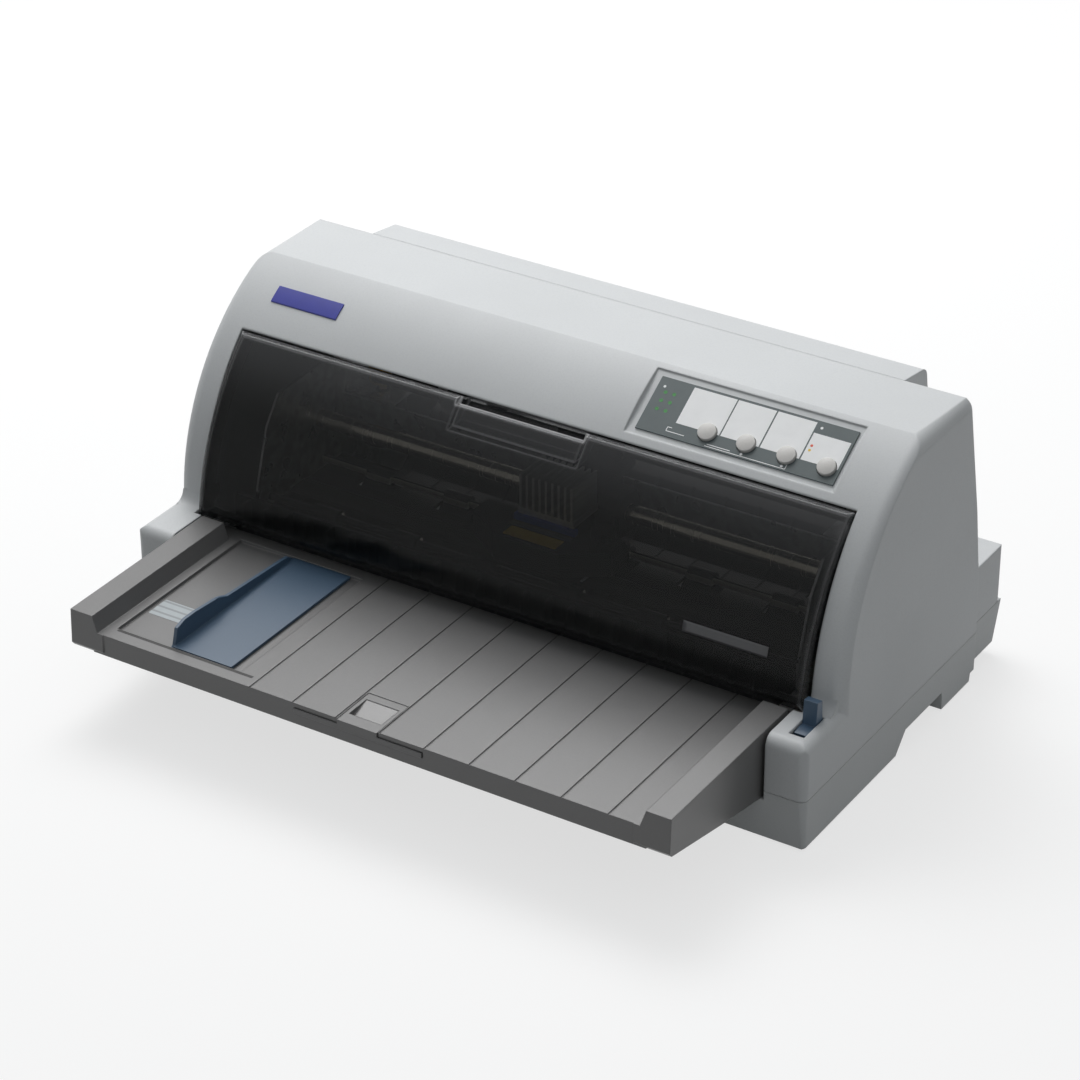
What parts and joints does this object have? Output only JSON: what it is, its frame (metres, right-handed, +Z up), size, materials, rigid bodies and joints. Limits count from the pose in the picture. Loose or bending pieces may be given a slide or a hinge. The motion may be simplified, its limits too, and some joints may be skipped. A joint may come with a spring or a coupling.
{
  "type": "dot matrix printer",
  "caption": "Flatbed dot matrix printer: curved case, smoked front cover on a hinge, front sheet guide, print carriage on a shaft, geared sheet feed and rear tractor.",
  "frame": {"origin": "on the surface that the feet stand on, under the middle of the overall box", "axes": "+X to the right as seen from the front, +Y from the sheet guide to the back, +Z up"},
  "size_m": [0.48, 0.37, 0.2087],
  "materials": {
    "case": "fine grained light grey moulding",
    "base": "fine grained grey moulding",
    "tray": "grained warm grey moulding",
    "smoked": "clear smoked plastic, polished",
    "dark": "black grained moulding",
    "black": "black moulding",
    "blue": "slate blue moulding",
    "clamp": "blue moulding",
    "rubber": "matt black rubber",
    "steel": "zinc plated sheet",
    "shaft": "ground rod",
    "board": "green board with parts",
    "port": "connector shell",
    "panel": "printed film, bare blocks without words",
    "lamp": "green lens",
    "badge": "plain blue plate",
    "button": "warm grey cap",
    "head": "black coated metal",
    "fins": "bare fins",
    "brass": "turned",
    "nylon": "natural nylon",
    "cable": "flat white cable"
  },
  "bodies": {
    "printer_body": {"lower_case": "base", "upper_case": "case", "rubber_feet": "rubber", "case_screws": "steel", "base_pan": "steel", "frame_left": "steel", "frame_right": "steel", "frame_stays": "steel", "guide_shaft": "shaft", "rear_rail": "steel", "platen": "rubber", "front_paper_guide": "dark", "rear_paper_guide": "dark", "main_board": "board", "power_supply": "board", "power_inlet": "black", "interface_ports": "port", "panel_plate": "panel", "panel_board": "board", "indicator_lamps": "lamp", "badge_plate": "badge", "front_sheet_guide": "tray", "carriage_motor": "head", "drive_belt": "rubber", "head_cable": "cable", "feed_motor": "head", "tractor_frame": "dark"},
    "front_cover": {"front_cover": "smoked", "cover_paper_guide": "dark"},
    "rear_cover": {"rear_cover": "case"},
    "sheet_support": {"sheet_support": "tray"},
    "edge_guide": {"edge_guide": "blue"},
    "release_lever": {"release_lever": "blue"},
    "power_switch": {"power_switch": "black"},
    "button_1": {"button_1": "button"},
    "button_2": {"button_2": "button"},
    "button_3": {"button_3": "button"},
    "button_4": {"button_4": "button"},
    "carriage": {"carriage": "dark", "print_head": "head", "head_clamp": "clamp", "head_heatsink": "fins", "ribbon_cartridge": "dark", "ribbon_mask": "steel"},
    "ribbon_knob": {"ribbon_knob": "dark"},
    "motor_pulley": {"motor_pulley": "brass"},
    "idler_pulley": {"idler_pulley": "nylon"},
    "front_feed": {"front_feed_shaft": "steel", "front_feed_rollers": "rubber", "front_feed_gear": "nylon"},
    "idler_gear": {"idler_gear": "nylon"},
    "rear_feed": {"rear_feed_shaft": "steel", "rear_feed_rollers": "rubber", "rear_feed_gear": "nylon"},
    "motor_pinion": {"motor_pinion": "brass"},
    "front_pinch": {"front_pinch_rollers": "dark"},
    "rear_pinch": {"rear_pinch_rollers": "dark"},
    "tractor_shaft": {"tractor_shaft": "steel"},
    "tractor_left": {"tractor_left": "dark"},
    "tractor_right": {"tractor_right": "dark"}
  },
  "joints": [
    {"name": "front_cover_hinge", "type": "hinge", "parent": "printer_body", "child": "front_cover", "pos_m": [0, -0.032, 0.08], "axis": [1, 0, 0], "range_deg": [0, 72]},
    {"name": "rear_cover_hinge", "type": "hinge", "parent": "printer_body", "child": "rear_cover", "pos_m": [0, 0.148, 0.154], "axis": [-1, 0, 0], "range_deg": [0, 70]},
    {"name": "sheet_support_slide", "type": "slide", "parent": "printer_body", "child": "sheet_support", "axis": [0, -1, 0], "range_m": [0, 0.06]},
    {"name": "edge_guide_slide", "type": "slide", "parent": "printer_body", "child": "edge_guide", "axis": [1, 0, 0], "range_m": [-0.036, 0.0077]},
    {"name": "release_lever_pivot", "type": "hinge", "parent": "printer_body", "child": "release_lever", "pos_m": [0.228, -0.06, 0.04], "axis": [1, 0, 0], "range_deg": [0, 22]},
    {"name": "power_switch_pivot", "type": "hinge", "parent": "printer_body", "child": "power_switch", "pos_m": [-0.2325, 0.006, 0.018], "axis": [0, 0, 1], "range_deg": [0, 12]},
    {"name": "button_1_press", "type": "slide", "parent": "printer_body", "child": "button_1", "axis": [0, 0.5319, -0.8468], "range_m": [0, 0.0015], "stiffness_N_per_m": 300, "springref_m": -0.0005},
    {"name": "button_2_press", "type": "slide", "parent": "printer_body", "child": "button_2", "axis": [0, 0.5319, -0.8468], "range_m": [0, 0.0015], "stiffness_N_per_m": 300, "springref_m": -0.0005},
    {"name": "button_3_press", "type": "slide", "parent": "printer_body", "child": "button_3", "axis": [0, 0.5319, -0.8468], "range_m": [0, 0.0015], "stiffness_N_per_m": 300, "springref_m": -0.0005},
    {"name": "button_4_press", "type": "slide", "parent": "printer_body", "child": "button_4", "axis": [0, 0.5319, -0.8468], "range_m": [0, 0.0015], "stiffness_N_per_m": 300, "springref_m": -0.0005},
    {"name": "carriage_slide", "type": "slide", "parent": "printer_body", "child": "carriage", "axis": [1, 0, 0], "range_m": [-0.14, 0.135]},
    {"name": "ribbon_knob_spin", "type": "hinge", "parent": "carriage", "child": "ribbon_knob", "pos_m": [0.041, 0.022, 0.1], "axis": [0, 0, 1], "continuous": true},
    {"name": "motor_pulley_spin", "type": "hinge", "parent": "printer_body", "child": "motor_pulley", "pos_m": [-0.176, 0.101, 0.114], "axis": [0, 0, 1], "range_deg": [-1150, 1110]},
    {"name": "idler_pulley_spin", "type": "hinge", "parent": "printer_body", "child": "idler_pulley", "pos_m": [0.176, 0.101, 0.114], "axis": [0, 0, 1], "range_deg": [-1150, 1110]},
    {"name": "front_feed_spin", "type": "hinge", "parent": "printer_body", "child": "front_feed", "pos_m": [0, 0, 0.0543], "axis": [1, 0, 0], "continuous": true},
    {"name": "idler_gear_spin", "type": "hinge", "parent": "printer_body", "child": "idler_gear", "pos_m": [0.2, 0.03, 0.0543], "axis": [1, 0, 0], "continuous": true},
    {"name": "rear_feed_spin", "type": "hinge", "parent": "printer_body", "child": "rear_feed", "pos_m": [0, 0.06, 0.0543], "axis": [1, 0, 0], "continuous": true},
    {"name": "motor_pinion_spin", "type": "hinge", "parent": "printer_body", "child": "motor_pinion", "pos_m": [0.2, 0.08212, 0.03881], "axis": [1, 0, 0], "continuous": true},
    {"name": "front_pinch_spin", "type": "hinge", "parent": "printer_body", "child": "front_pinch", "pos_m": [0, 0, 0.0676], "axis": [1, 0, 0], "continuous": true},
    {"name": "rear_pinch_spin", "type": "hinge", "parent": "printer_body", "child": "rear_pinch", "pos_m": [0, 0.06, 0.0676], "axis": [1, 0, 0], "continuous": true},
    {"name": "tractor_shaft_spin", "type": "hinge", "parent": "printer_body", "child": "tractor_shaft", "pos_m": [0, 0.172, 0.1], "axis": [1, 0, 0], "continuous": true},
    {"name": "tractor_left_slide", "type": "slide", "parent": "printer_body", "child": "tractor_left", "axis": [1, 0, 0], "range_m": [-0.04, 0.04]},
    {"name": "tractor_right_slide", "type": "slide", "parent": "printer_body", "child": "tractor_right", "axis": [1, 0, 0], "range_m": [-0.04, 0.04]}
  ],
  "couplings": [
    {"joint": "motor_pulley_spin", "follows": "carriage_slide", "rad_per_m": 142.86},
    {"joint": "idler_pulley_spin", "follows": "carriage_slide", "rad_per_m": 142.86},
    {"joint": "idler_gear_spin", "follows": "front_feed_spin", "ratio": -1.5},
    {"joint": "rear_feed_spin", "follows": "front_feed_spin", "ratio": 1},
    {"joint": "motor_pinion_spin", "follows": "front_feed_spin", "ratio": -2},
    {"joint": "front_pinch_spin", "follows": "front_feed_spin", "ratio": -1.6},
    {"joint": "rear_pinch_spin", "follows": "front_feed_spin", "ratio": -1.6}
  ]
}
